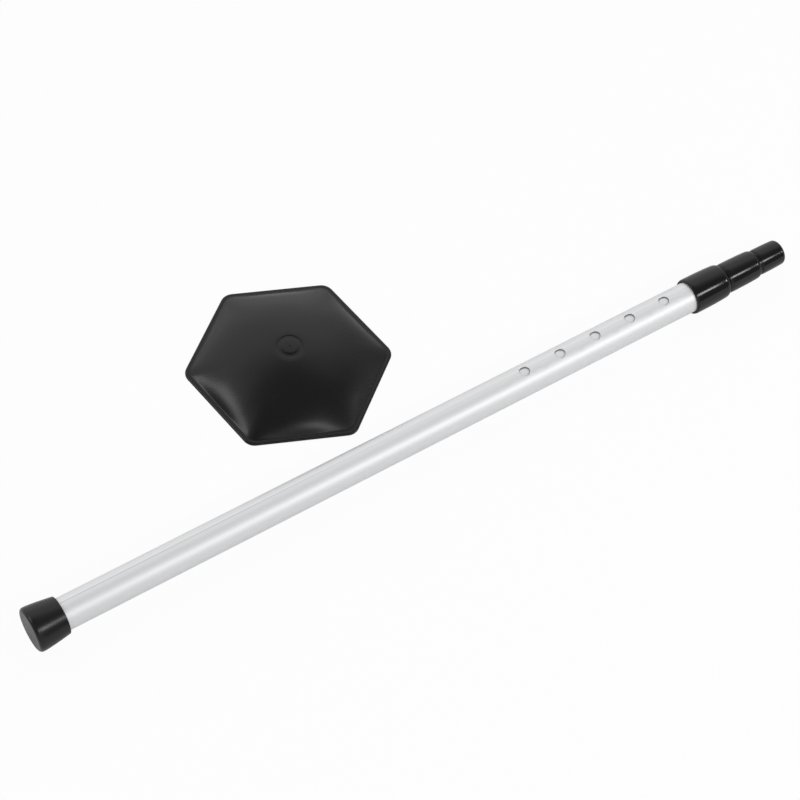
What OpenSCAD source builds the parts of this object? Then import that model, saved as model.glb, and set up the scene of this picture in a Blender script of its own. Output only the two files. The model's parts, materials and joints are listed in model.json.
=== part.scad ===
// Telescoping support pole, closed, lying beside its loose hexagonal top pad.
// Three round aluminium tubes nest in each other. A spring button in the lower
// end of each sliding tube locks it in a row of holes in the tube around it.
// Lengths are millimetres. The pole lies along +X with its foot at the -X end,
// and the floor is z = 0. Stations along the pole are measured from the face
// of the foot.

/* [Tubes] */
// Outside diameter of the outer tube
outer_od = 28.575; // [25:0.005:35]
// Wall thickness of all three tubes
tube_wall = 1.473; // [1.2:0.001:1.8]
// Running gap between a tube and the tube that slides in it, on the radius
slide_gap = 0.115; // [0.05:0.005:0.3]
// Length of the outer tube
outer_len = 696; // [560:1:1000]
// Setback of the middle tube's lower end from the outer tube's
middle_setback = 24; // [10:1:60]
// Setback of the inner tube's lower end from the middle tube's
inner_setback = 50; // [48:1:90]
// How far the tubes are turned, so that the row of holes leans to the pad
tube_turn = 3.7; // [0:0.1:20]

/* [Row of holes] */
// Diameter of each locking hole
hole_d = 9.5; // [8:0.1:11]
// Distance from one hole to the next
hole_pitch = 38.1; // [25:0.1:60]
// Number of holes in the outer and middle tubes
hole_count = 5; // [2:1:8]
// From the mouth of the outer tube to its nearest hole
outer_hole_inset = 66.4; // [45:0.1:90]
// From the mouth of the middle tube to its nearest hole
middle_hole_inset = 85.45; // [60:0.1:110]

/* [Foot] */
// Length of the rubber foot
foot_len = 29; // [22:0.5:45]
// Thickness of rubber under the end of the tube
foot_floor = 6.3; // [4:0.1:10]
// Radius of the foot at its widest
foot_r = 19.9; // [18.5:0.1:26]
// Wall of the foot at its open end
foot_wall = 2.6; // [1.5:0.1:4]
// Radius of the rounded edge around the flat face of the foot
foot_round = 3.3; // [1:0.1:5]
// Thickness of the steel washer in the foot
washer_t = 1.5; // [1:0.1:3]
// Hole through the washer
washer_hole_d = 8; // [4:0.5:16]

/* [Collars and tip] */
// Length of the collar on the outer tube
outer_collar_len = 40.3; // [30:0.1:60]
// Wall of the collar on the outer tube
outer_collar_wall = 2.65; // [1.8:0.05:4]
// Length of the collar on the middle tube
middle_collar_len = 37.9; // [25:0.1:60]
// Wall of the collar on the middle tube
middle_collar_wall = 1.5; // [1.2:0.05:3]
// Thickness of each collar's end wall
collar_end = 2.7; // [1.5:0.1:4]
// Gap on the radius between a collar's mouth and the tube that slides in it
mouth_gap = 0.2; // [0.1:0.05:0.6]
// Height of the bead round a collar's open end
bead = 0.5; // [0.2:0.05:1.2]
// Length of that bead
bead_len = 3.8; // [2:0.1:6]
// Length of a collar's rounded shoulder
shoulder_len = 3.6; // [1.5:0.1:6]
// Length of the cap on the tip
tip_len = 27; // [20:0.5:45]
// Wall of the cap on the tip
tip_wall = 1.19; // [0.9:0.01:2.5]
// Thickness of the cap's end
tip_end = 3; // [1.5:0.1:6]
// Radius of the rounded end of the cap
tip_round = 2.8; // [1:0.1:4]
// Gap between a collar and the one that closes against it
stop_gap = 0.2; // [0.1:0.05:1]

/* [Spring buttons] */
// Diameter of the button
button_d = 9; // [6:0.1:9.2]
// Distance from the sliding tube's lower end to its button
button_inset = 38; // [34:0.5:44]
// How far a button springs out into a hole
button_throw = 3.4; // [2:0.1:4]
// Radius of the button's domed end
button_dome_r = 6.3; // [5:0.1:12]
// Diameter of the flange that keeps a button in its tube
button_flange_d = 11.5; // [10.5:0.1:12.5]
// Thickness of the button's flange and of the spring strip
strip_t = 0.8; // [0.5:0.05:1.2]
// Width of the spring strip
strip_w = 8; // [5:0.1:9]
// Radius of the bend in the spring strip, at the middle of its thickness
strip_bend_r = 3.6; // [2.5:0.1:4]
// Gap between the sliding tube's lower end and that bend
strip_setback = 2.6; // [1:0.1:4]

/* [Pad] */
// Distance from the middle of the pad to a corner, if the corner was sharp
pad_corner_r = 94; // [75:0.5:130]
// Radius of the rounded corners
pad_round = 11.5; // [5:0.5:20]
// Width of the flat rim round the dome
rim_w = 4; // [3:0.1:8]
// Thickness of the rim
rim_t = 2.4; // [1.6:0.1:4]
// Height of the dome's flat crown above the floor
crown_h = 27.9; // [26:0.1:45]
// How far the flat crown reaches past the socket under it
crown_land = 0.8; // [0.4:0.1:5]
// Wall thickness of the pad
pad_wall = 2.6; // [1.8:0.1:4]
// Fullness of the dome near its rim, where a smaller number is fuller
pad_fullness = 0.6; // [0.45:0.01:0.8]
// Thickness of the six ribs under the dome
rib_t = 2; // [1.2:0.1:3]
// Gap on the radius between the socket and the tip that it takes
socket_gap = 0.2; // [0.1:0.05:0.5]
// Wall of the socket
socket_wall = 2.6; // [1.8:0.1:4]
// Height of the socket's mouth and of the ribs' lower edge above the floor
socket_lift = 1; // [0.5:0.1:3]
// Width of the ring groove in the crown
groove_w = 3.1; // [1.5:0.1:4]
// Depth of the ring groove in the crown
groove_depth = 0.8; // [0.4:0.1:1.4]
// Station of the middle of the pad along the pole
pad_station = 323.4; // [120:0.1:600]
// Distance from the pole's axis to the middle of the pad
pad_offset = 129.7; // [125:0.1:260]
// How far the pad is turned on the floor
pad_turn = 37.15; // [0:0.05:60]

/* [Hidden] */
$fn = 96;
SMALL = 0.01;                  // overlap that makes neighbouring solids join
GRIP = 0.03;                   // gap on the radius round a pushed-on piece
SEAT = 0.02;                   // gap between the socket and the crown over it
EVEN = 0.9;                    // radius of the dome's round rings, as a share of a corner's
RUB = 0.06;                    // gap between a pressed-in button and the tube over it
ARC_STEPS = 6;                 // straight steps in a rounded edge of a turned piece

// Radii of the three tubes
outer_r = outer_od / 2;
outer_bore = outer_r - tube_wall;
middle_r = outer_bore - slide_gap;
middle_bore = middle_r - tube_wall;
inner_r = middle_bore - slide_gap;
inner_bore = inner_r - tube_wall;

// Stations along the pole, from the face of the foot
outer_start = foot_floor + washer_t;
outer_mouth = outer_start + outer_len;
outer_collar_end = outer_mouth + collar_end;
middle_collar_start = outer_collar_end + stop_gap;
middle_collar_end = middle_collar_start + middle_collar_len;
middle_start = outer_start + middle_setback;
middle_mouth = middle_collar_end - collar_end;
tip_start = middle_collar_end + stop_gap;
pole_len = tip_start + tip_len;
inner_start = middle_start + inner_setback;
inner_mouth = pole_len - tip_end;
middle_button_at = middle_start + button_inset;
inner_button_at = inner_start + button_inset;

// Outside radii of the turned plastic pieces
tip_r = inner_r + GRIP + tip_wall;
foot_open_r = outer_r + GRIP + foot_wall;

// Pad
socket_r = tip_r + socket_gap;
socket_outer_r = socket_r + socket_wall;
socket_top = crown_h - pad_wall - SEAT;
crown_r = socket_outer_r + crown_land;
corner_arc_r = pad_corner_r - pad_round / cos(30);
pad_reach = corner_arc_r * max([for (k = [0:5]) sin(pad_turn + 60 * k)]) + pad_round;

// The pole's axis in the part's frame, whose origin is under the middle of the part
axis_z = max(foot_r, outer_r + outer_collar_wall + bead);
pole_shift = [-pole_len / 2, (foot_r - pad_offset - pad_reach) / 2, axis_z];
pad_shift = [pad_station - pole_len / 2, pole_shift.y + pad_offset, 0];

// ---- Helpers ----

// Places a piece that was made along +Z, with its top towards -X, on the pole's axis
module along_pole() {
    translate(pole_shift) rotate([-tube_turn, 0, 0]) rotate([0, 90, 0]) children();
}

// Points a piece that was made along +Z radially up, at a station of the pole
module upward(station) {
    translate([0, 0, station]) rotate([0, -90, 0]) children();
}

// Extrudes a side view, drawn as [station, height above the axis], across the pole
module side_view(width) {
    rotate([0, -90, 0]) rotate([90, 0, 0]) linear_extrude(width, center = true) children();
}

// Turns an outline drawn as [radius, station]
module turned(outline) {
    rotate_extrude() polygon(outline);
}

// Points on an arc round [r, z], from one angle to another
function arc(r, z, radius, from, to) = [
    for (i = [0:ARC_STEPS]) let (a = from + (to - from) * i / ARC_STEPS)
        [r + radius * cos(a), z + radius * sin(a)]
];

// One tube, with a row of holes whose last one is at the given station
module tube(radius, start, mouth, last_hole, count) {
    difference() {
        translate([0, 0, start]) cylinder(r = radius, h = mouth - start);
        translate([0, 0, start - 1]) cylinder(r = radius - tube_wall, h = mouth - start + 2);
        for (i = [0:1:count - 1])
            upward(last_hole - i * hole_pitch) cylinder(d = hole_d, h = 2 * radius);
    }
}

// A collar: it grips one tube and narrows at its end wall to guide the next
module collar(start, end, wall, grip_r, guide_r) {
    barrel = grip_r + wall;
    flare = wall / 2;
    taper_from = start + bead_len;
    taper_to = end - shoulder_len;
    nose = (guide_r + mouth_gap + barrel) / 2;
    turned(concat(
        [
            [grip_r + GRIP, end - collar_end],
            [grip_r + GRIP, start + 4 * flare],
            [grip_r + flare, start + bead / 2],
            [barrel - bead, start]
        ],
        [for (a = [-90:30:90]) [barrel + bead * cos(a), start + bead_len * (1 + sin(a)) / 2]],
        [for (i = [1:ARC_STEPS]) let (t = i / ARC_STEPS)
            [barrel - bead * t * t, taper_from + (taper_to - taper_from) * t]],
        [for (i = [1:ARC_STEPS]) let (a = 90 * i / ARC_STEPS)
            [nose + (barrel - bead - nose) * cos(a), taper_to + shoulder_len * sin(a)]],
        [
            [guide_r + mouth_gap, end],
            [guide_r + mouth_gap, end - collar_end]
        ]
    ));
}

// Heights above the pole's axis in the snap lock of a tube with the given bores
function flange_top(own_bore) =
    sqrt(own_bore * own_bore - button_flange_d * button_flange_d / 4) - RUB - button_throw;
function leg_foot(own_bore) = RUB - sqrt(own_bore * own_bore - strip_w * strip_w / 4);

// A button on its flange, pressed in as far as the tube over it makes it
module snap_button(own_bore, bore_over, station) {
    seat = flange_top(own_bore) - strip_t;
    crown = bore_over - RUB - seat;
    sag = button_dome_r - sqrt(button_dome_r * button_dome_r - button_d * button_d / 4);
    upward(station) translate([0, 0, seat]) {
        cylinder(d = button_flange_d, h = strip_t);
        cylinder(d = button_d, h = crown - sag);
        intersection() {
            cylinder(d = button_d, h = crown);
            translate([0, 0, crown - button_dome_r]) sphere(r = button_dome_r);
        }
    }
}

// The folded strip that carries the button, its bend towards the tube's lower end
module snap_spring(own_bore, start, station) {
    seat = flange_top(own_bore) - strip_t;
    base = leg_foot(own_bore);
    bend_at = start + strip_setback + strip_t / 2 + strip_bend_r;
    bend_top = base + strip_t / 2 + 2 * strip_bend_r;
    rest = button_flange_d / 2;
    side_view(strip_w) {
        translate([bend_at, base + strip_t / 2 + strip_bend_r]) difference() {
            circle(r = strip_bend_r + strip_t / 2);
            circle(r = strip_bend_r - strip_t / 2);
            translate([0, -2 * strip_bend_r]) square([4 * strip_bend_r, 4 * strip_bend_r]);
        }
        translate([bend_at - SMALL, base]) square([station + rest - bend_at, strip_t]);
        polygon([
            [bend_at - SMALL, bend_top + strip_t / 2],
            [bend_at - SMALL, bend_top - strip_t / 2],
            [station - rest, seat - strip_t],
            [station + rest, seat - strip_t],
            [station + rest, seat],
            [station - rest, seat]
        ]);
    }
}

// Distance from the middle of a rounded hexagon to its edge, at an angle from a corner
function hexagon_edge(corner_r, round_r, angle) =
    let (
        turn = angle - 60 * round(angle / 60),
        side = corner_r * cos(30),
        centre = corner_r - round_r / cos(30),
        arc_end = 30 - atan((corner_r / 2 - round_r * tan(30)) / side)
    )
    abs(turn) >= arc_end
        ? side / cos(30 - abs(turn))
        : centre * cos(turn) + sqrt(pow(round_r, 2) - pow(centre * sin(turn), 2));

// Angles of the dome's spokes, closer together round the corners
SPOKES = [for (k = [0:5], a = [-30, -22, -14, -8, -4, -2, 0, 2, 4, 8, 14, 22]) 60 * k + a];
// Rings of the dome, as shares of the way from its middle to the rim
RINGS = [1, 0.99, 0.97, 0.94, 0.9, 0.84, 0.76, 0.66, 0.54, 0.42, 0.3];

// Radius that a dome's rings have near the crown, where they are round
function even_r(inset) = EVEN * (pad_corner_r - inset / cos(30));

// Height of a dome at a share of the way to the rim, with its flat crown at share flat
function dome_z(share, flat, crown) =
    rim_t + (crown - rim_t) * pow((1 - share * share) / (1 - flat * flat), pad_fullness);

// A point of a dome: its rings are hexagons at the rim and round at the crown
function dome_point(share, flat, angle, inset, crown) =
    let (
        edge = hexagon_edge(pad_corner_r - inset / cos(30), pad_round, angle),
        r = share * (even_r(inset) + (edge - even_r(inset)) * share * share)
    )
    [r * cos(angle), r * sin(angle), dome_z(share, flat, crown)];

// A solid under a dome that stands inside the pad's edge, down to the given height
module dome(inset, crown, down_to) {
    n = len(SPOKES);
    flat = crown_r / even_r(inset);
    rings = concat([for (s = RINGS) if (s > flat + 0.05) s], [flat]);
    rows = concat(
        [[for (a = SPOKES) let (p = dome_point(1, flat, a, inset, crown)) [p.x, p.y, down_to]]],
        [for (s = rings) [for (a = SPOKES) dome_point(s, flat, a, inset, crown)]]
    );
    last = len(rows) - 1;
    polyhedron(points = [for (row = rows, p = row) p], faces = concat(
        [[for (i = [0:n - 1]) i]],
        [for (r = [0:last - 1], i = [0:n - 1])
            [r * n + i, (r + 1) * n + i, (r + 1) * n + (i + 1) % n]],
        [for (r = [0:last - 1], i = [0:n - 1])
            [r * n + i, (r + 1) * n + (i + 1) % n, r * n + (i + 1) % n]],
        [[for (i = [n - 1:-1:0]) last * n + i]]
    ));
}

// Plan of the pad's edge
module pad_plan() {
    polygon([for (k = [0:5], s = [-1, 1])
        corner_arc_r * [cos(60 * k), sin(60 * k)]
            + (pad_round - SMALL) * [cos(60 * k + 30 * s), sin(60 * k + 30 * s)]]);
    for (k = [0:5])
        translate(corner_arc_r * [cos(60 * k), sin(60 * k)]) circle(r = pad_round);
}

module on_floor() {
    translate(pad_shift) rotate(pad_turn) children();
}

// ---- Outer section ----

module outer_tube() {
    color("silver") along_pole()
        tube(outer_r, outer_start, outer_mouth, outer_mouth - outer_hole_inset, hole_count);
}

module foot_tip() {
    rim_round = 0.8;
    color([0.08, 0.08, 0.08]) along_pole() turned(concat(
        [[0, foot_floor], [0, 0]],
        arc(foot_r - foot_round, foot_round, foot_round, -90, 0),
        arc(foot_open_r - rim_round, foot_len - rim_round, rim_round, 0, 90),
        [[outer_r + GRIP, foot_len], [outer_r + GRIP, foot_floor]]
    ));
}

module foot_washer() {
    color("gray") along_pole() translate([0, 0, foot_floor]) difference() {
        cylinder(r = outer_r - GRIP, h = washer_t);
        translate([0, 0, -1]) cylinder(d = washer_hole_d, h = washer_t + 2);
    }
}

module outer_collar() {
    color([0.06, 0.06, 0.06]) along_pole() collar(
        outer_collar_end - outer_collar_len, outer_collar_end,
        outer_collar_wall, outer_r, middle_r);
}

// ---- Middle section ----

module middle_tube() {
    color("silver") along_pole() difference() {
        tube(middle_r, middle_start, middle_mouth, middle_mouth - middle_hole_inset, hole_count);
        upward(middle_button_at) cylinder(d = hole_d, h = 2 * middle_r);
    }
}

module middle_collar() {
    color([0.06, 0.06, 0.06]) along_pole() collar(
        middle_collar_start, middle_collar_end, middle_collar_wall, middle_r, inner_r);
}

module middle_spring() {
    color("gray") along_pole() snap_spring(middle_bore, middle_start, middle_button_at);
}

module middle_button() {
    color("gainsboro") along_pole() snap_button(middle_bore, outer_bore, middle_button_at);
}

// ---- Inner section ----

module inner_tube() {
    color("silver") along_pole()
        tube(inner_r, inner_start, inner_mouth, inner_button_at, 1);
}

module tip_cap() {
    lead = 0.6;
    color([0.06, 0.06, 0.06]) along_pole() turned(concat(
        [
            [0, inner_mouth], [inner_r + GRIP, inner_mouth], [inner_r + GRIP, tip_start],
            [tip_r - lead, tip_start], [tip_r, tip_start + lead]
        ],
        arc(tip_r - tip_round, pole_len - tip_round, tip_round, 0, 90),
        [[0, pole_len]]
    ));
}

module inner_spring() {
    color("gray") along_pole() snap_spring(inner_bore, inner_start, inner_button_at);
}

module inner_button() {
    color("gainsboro") along_pole() snap_button(inner_bore, middle_bore, inner_button_at);
}

// ---- Pad ----

module pad_shell() {
    color([0.12, 0.12, 0.12]) on_floor() difference() {
        union() {
            linear_extrude(rim_t) pad_plan();
            dome(rim_w, crown_h, rim_t / 2);
        }
        dome(rim_w + pad_wall, crown_h - pad_wall, -1);
        translate([0, 0, crown_h - groove_depth]) difference() {
            cylinder(r = socket_r, h = pad_wall);
            translate([0, 0, -1]) cylinder(r = socket_r - groove_w, h = pad_wall + 2);
        }
    }
}

module pad_socket() {
    color([0.12, 0.12, 0.12]) on_floor() difference() {
        translate([0, 0, socket_lift])
            cylinder(r = socket_outer_r, h = socket_top - socket_lift);
        cylinder(r = socket_r, h = crown_h);
    }
}

module pad_ribs() {
    color([0.12, 0.12, 0.12]) on_floor() intersection() {
        dome(rim_w + pad_wall, crown_h - pad_wall, socket_lift);
        for (k = [0:5]) rotate(60 * k) translate([socket_outer_r, -rib_t / 2, 0])
            cube([pad_corner_r, rib_t, crown_h]);
    }
}

outer_tube();
foot_tip();
foot_washer();
outer_collar();
middle_tube();
middle_collar();
middle_spring();
middle_button();
inner_tube();
tip_cap();
inner_spring();
inner_button();
pad_shell();
pad_socket();
pad_ribs();
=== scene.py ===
"""Dresses the telescoping support pole and the loose hexagonal pad beside it.

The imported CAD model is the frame. This script builds the smooth, detailed pieces that stand
for its solids, gives each one a finish, and sets up a plain studio. The object's sizes are in
millimetres, as in the part's source, and turn into metres where a mesh is made. The finishes
and the studio are in metres.
"""
import json
import logging
import math
from dataclasses import astuple, dataclass, field
from enum import Enum
from typing import Dict, List, Optional, Sequence, Tuple, Union

import bmesh
import bpy
from mathutils import Matrix, Vector


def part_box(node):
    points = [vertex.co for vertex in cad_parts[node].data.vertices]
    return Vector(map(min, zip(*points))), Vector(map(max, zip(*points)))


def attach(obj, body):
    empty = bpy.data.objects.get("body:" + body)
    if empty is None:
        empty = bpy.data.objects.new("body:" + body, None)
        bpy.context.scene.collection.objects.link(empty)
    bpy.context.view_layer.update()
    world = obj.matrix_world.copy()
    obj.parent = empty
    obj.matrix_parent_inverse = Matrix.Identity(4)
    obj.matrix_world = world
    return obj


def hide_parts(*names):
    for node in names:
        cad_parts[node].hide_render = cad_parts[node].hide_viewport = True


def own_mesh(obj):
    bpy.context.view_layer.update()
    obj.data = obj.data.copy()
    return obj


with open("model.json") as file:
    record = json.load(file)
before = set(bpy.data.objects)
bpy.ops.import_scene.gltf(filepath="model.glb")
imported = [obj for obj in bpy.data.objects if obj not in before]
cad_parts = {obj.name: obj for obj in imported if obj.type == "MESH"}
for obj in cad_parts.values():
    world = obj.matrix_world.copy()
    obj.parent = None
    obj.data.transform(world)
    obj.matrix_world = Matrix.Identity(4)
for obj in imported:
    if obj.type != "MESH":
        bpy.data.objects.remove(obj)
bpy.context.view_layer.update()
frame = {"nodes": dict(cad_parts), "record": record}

MM = 0.001
SHARP = math.radians(32)
LOG = logging.getLogger("pole")

Colour = Tuple[float, float, float]
Point = Tuple[float, float]
Spot = Tuple[float, float, float]
Corner = Tuple[float, float, float]


# ---- Node trees ----


class Wire:
    """A socket of a node tree whose Python operators add Math nodes."""

    def __init__(self, graph: "Graph", socket: bpy.types.NodeSocket) -> None:
        """Keeps the tree's graph and the output socket."""
        self.graph = graph
        self.socket = socket

    def fn(self, operation: str, *others: "Value") -> "Wire":
        """Adds a Math node.

        Args:
            operation: The node's operation, such as "SINE".
            others: Its further inputs.

        Returns:
            The result.
        """
        return self.graph.add("ShaderNodeMath", {"operation": operation},
                              dict(enumerate((self, *others))))

    def __add__(self, other: "Value") -> "Wire":
        """self + other."""
        return self.fn("ADD", other)

    __radd__ = __add__

    def __sub__(self, other: "Value") -> "Wire":
        """self - other."""
        return self.fn("SUBTRACT", other)

    def __rsub__(self, other: float) -> "Wire":
        """other - self."""
        return self.fn("MULTIPLY_ADD", -1.0, other)

    def __mul__(self, other: "Value") -> "Wire":
        """self * other."""
        return self.fn("MULTIPLY", other)

    __rmul__ = __mul__

    def __truediv__(self, other: "Value") -> "Wire":
        """self / other."""
        return self.fn("DIVIDE", other)

    def __pow__(self, other: "Value") -> "Wire":
        """self ** other."""
        return self.fn("POWER", other)

    def __abs__(self) -> "Wire":
        """The absolute value."""
        return self.fn("ABSOLUTE")

    def step(self, low: float, high: float) -> "Wire":
        """Rises smoothly from 0 at low to 1 at high, or falls if low is the larger."""
        return self.graph.add("ShaderNodeMapRange", {"interpolation_type": "SMOOTHSTEP"},
                              {0: self, 1: low, 2: high, 3: 0.0, 4: 1.0})


Value = Union[Wire, float]


class Graph:
    """Adds nodes to one tree."""

    def __init__(self, tree: bpy.types.NodeTree) -> None:
        """Starts from an empty tree."""
        self.tree = tree
        tree.nodes.clear()

    def add(self, kind: str, settings: Optional[dict] = None, inputs: Optional[dict] = None,
            output: Union[int, str] = 0) -> Wire:
        """Adds any node.

        Args:
            kind: The node's type.
            settings: Its settings, set first.
            inputs: Values or wires by socket name or number.
            output: The output that is returned.

        Returns:
            That output, or the node's first input where it has no output.
        """
        node = self.tree.nodes.new(kind)
        for key, value in (settings or {}).items():
            setattr(node, key, value)
        for key, value in (inputs or {}).items():
            if isinstance(value, Wire):
                self.tree.links.new(value.socket, node.inputs[key])
            else:
                node.inputs[key].default_value = value
        return Wire(self, node.outputs[output] if len(node.outputs) else node.inputs[0])

    def mix(self, factor: Value, low: Union[Wire, Colour], high: Union[Wire, Colour]) -> Wire:
        """Mixes two colours.

        Args:
            factor: 0 for low and 1 for high.
            low: A colour or a wire.
            high: A colour or a wire.

        Returns:
            The mixed colour.
        """
        ends = [c if isinstance(c, Wire) else (*c, 1.0) for c in (low, high)]
        return self.add("ShaderNodeMix", {"data_type": "RGBA"},
                        {0: factor, 6: ends[0], 7: ends[1]}, 2)

    def noise(self, place: Wire, scale: float, detail: float = 2.0) -> Wire:
        """Noise from 0 to 1.

        Args:
            place: Where it is read.
            scale: Its cells per unit of place.
            detail: Its octaves.

        Returns:
            The noise's value.
        """
        return self.add("ShaderNodeTexNoise", None,
                        {"Vector": place, "Scale": scale, "Detail": detail})


class Rule(Graph):
    """A geometry node tree with named inputs."""

    def __init__(self, name: str, sizes: Dict[str, float]) -> None:
        """Makes the tree.

        Args:
            name: The tree's name.
            sizes: Its named inputs and their values, where a whole number makes an integer.
        """
        super().__init__(bpy.data.node_groups.new(name, "GeometryNodeTree"))
        self.sizes = sizes
        face = self.tree.interface
        face.new_socket(name="Geometry", in_out="OUTPUT", socket_type="NodeSocketGeometry")
        face.new_socket(name="Geometry", in_out="INPUT", socket_type="NodeSocketGeometry")
        for key, value in sizes.items():
            sort = "Int" if isinstance(value, int) else "Float"
            face.new_socket(name=key, in_out="INPUT", socket_type=f"NodeSocket{sort}")
        self.entry = self.tree.nodes.new("NodeGroupInput")

    def given(self, name: str) -> Wire:
        """One of the tree's inputs."""
        return Wire(self, self.entry.outputs[name])

    def stored(self, name: str, kind: str = "FLOAT") -> Wire:
        """An attribute of the mesh that the tree starts from."""
        return self.add("GeometryNodeInputNamedAttribute", {"data_type": kind}, {"Name": name})

    def grow(self, name: str, seed: bpy.types.Mesh, result: Wire,
             finish: bpy.types.Material) -> bpy.types.Object:
        """Runs the tree on a mesh and keeps what comes out as a plain mesh.

        Args:
            name: The new object's name.
            seed: The mesh to start from.
            result: The tree's last geometry.
            finish: The material to set.

        Returns:
            The object, with no modifier left on it.
        """
        solid = self.add("GeometryNodeRealizeInstances", None, {0: result})
        dressed = self.add("GeometryNodeSetMaterial", None, {0: solid, "Material": finish})
        self.add("NodeGroupOutput", None, {0: dressed})
        thing = link(name, seed)
        modifier = thing.modifiers.new("rule", "NODES")
        modifier.node_group = self.tree
        for item in self.tree.interface.items_tree:
            if item.in_out == "INPUT" and item.name in self.sizes:
                modifier[item.identifier] = self.sizes[item.name]
        seen = thing.evaluated_get(bpy.context.evaluated_depsgraph_get())
        thing.data = bpy.data.meshes.new_from_object(seen)
        thing.modifiers.clear()
        thing.data.name = name
        return thing


# ---- Meshes ----


def link(name: str, mesh: bpy.types.Mesh) -> bpy.types.Object:
    """Puts a mesh in the scene as an object at the origin.

    Args:
        name: The object's name.
        mesh: Its mesh.

    Returns:
        The object.
    """
    thing = bpy.data.objects.new(name, mesh)
    bpy.context.scene.collection.objects.link(thing)
    return thing


class Soup:
    """Points and faces in millimetres that become one welded mesh."""

    def __init__(self) -> None:
        """Starts empty."""
        self.points: List[Spot] = []
        self.faces: List[Tuple[int, ...]] = []
        self.marks: List[bool] = []
        self.marking = False

    def strip(self, rows: Sequence[Sequence[Spot]], closed: bool) -> None:
        """Joins rows of equally many points with quads.

        Args:
            rows: The rows of points.
            closed: Whether each row's last point joins its first.
        """
        start, count = len(self.points), len(rows[0])
        self.points += [p for row in rows for p in row]
        for r in range(len(rows) - 1):
            for i in range(count if closed else count - 1):
                a, b = start + r * count + i, start + r * count + (i + 1) % count
                self.faces.append((a, b, b + count, a + count))
                self.marks.append(self.marking)

    def bar(self, rows: Sequence[Sequence[Spot]]) -> None:
        """Joins closed rows to a bar and closes both its ends.

        Args:
            rows: The bar's sections, from end to end.
        """
        self.strip(rows, True)
        for row in (rows[0], rows[-1]):
            middle = tuple(sum(p[k] for p in row) / len(row) for k in range(3))
            self.strip([row, [middle] * len(row)], True)

    def mesh(self, name: str, place: Matrix = Matrix()) -> bpy.types.Mesh:
        """Welds the soup, drops flat faces and turns its faces outwards.

        Args:
            name: The mesh's name.
            place: Where it goes, in metres.

        Returns:
            The mesh, smooth but for its sharp edges.
        """
        mesh = bpy.data.meshes.new(name)
        mesh.from_pydata([tuple(MM * c for c in p) for p in self.points], [], self.faces)
        marks = mesh.attributes.new("repeats", "BOOLEAN", "FACE")
        marks.data.foreach_set("value", self.marks)
        settle(mesh, place, weld=True)
        return mesh


def settle(mesh: bpy.types.Mesh, place: Matrix, weld: bool = False) -> None:
    """Turns a mesh's faces outwards, moves it to its place and shades it smooth.

    Args:
        mesh: The mesh.
        place: Where it goes, in metres.
        weld: Whether to weld points that meet and drop flat faces first.
    """
    shape = bmesh.new()
    shape.from_mesh(mesh)
    if weld:
        bmesh.ops.remove_doubles(shape, verts=shape.verts, dist=2e-6)
        bmesh.ops.dissolve_degenerate(shape, edges=shape.edges, dist=1e-7)
    bmesh.ops.recalc_face_normals(shape, faces=shape.faces)
    shape.to_mesh(mesh)
    shape.free()
    mesh.transform(place)
    mesh.polygons.foreach_set("use_smooth", [True] * len(mesh.polygons))
    mesh.set_sharp_from_angle(angle=SHARP)


def rounded(corners: Sequence[Corner], step: float = 12.0) -> List[Point]:
    """Rounds the corners of a closed outline.

    Args:
        corners: Each corner and the radius of its rounding, 0 to keep it sharp.
        step: The turn between two points of a rounding, in degrees.

    Returns:
        The outline's points.
    """
    outline: List[Point] = []
    for i, (x, y, radius) in enumerate(corners):
        if radius <= 0:
            outline.append((x, y))
            continue
        here = Vector((x, y))
        before = Vector(corners[i - 1][:2]) - here
        after = Vector(corners[(i + 1) % len(corners)][:2]) - here
        half = before.angle(after) / 2
        reach = radius / math.tan(half)
        middle = here + (before.normalized() + after.normalized()).normalized() \
            * radius / math.sin(half)
        first = here + before.normalized() * reach - middle
        sweep = first.angle_signed(here + after.normalized() * reach - middle)
        count = max(2, math.ceil(abs(math.degrees(sweep)) / step))
        for k in range(count + 1):
            turned = Matrix.Rotation(-sweep * k / count, 2) @ first
            outline.append(tuple(middle + turned))
    return outline


def lathe(name: str, outline: Sequence[Point], place: Matrix, segments: int = 144) -> bpy.types.Mesh:
    """Turns a closed outline about the X axis.

    Args:
        name: The mesh's name.
        outline: Points (station, radius), where a radius of 0 lies on the axis.
        place: Where the mesh goes.
        segments: The steps of a full turn.

    Returns:
        The closed mesh.
    """
    soup = Soup()
    turns = [math.tau * i / segments for i in range(segments)]
    ring = list(outline) + [outline[0]]
    soup.strip([[(s, r * math.sin(a), r * math.cos(a)) for a in turns] for s, r in ring], True)
    return soup.mesh(name, place)


# ---- Finishes ----


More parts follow.
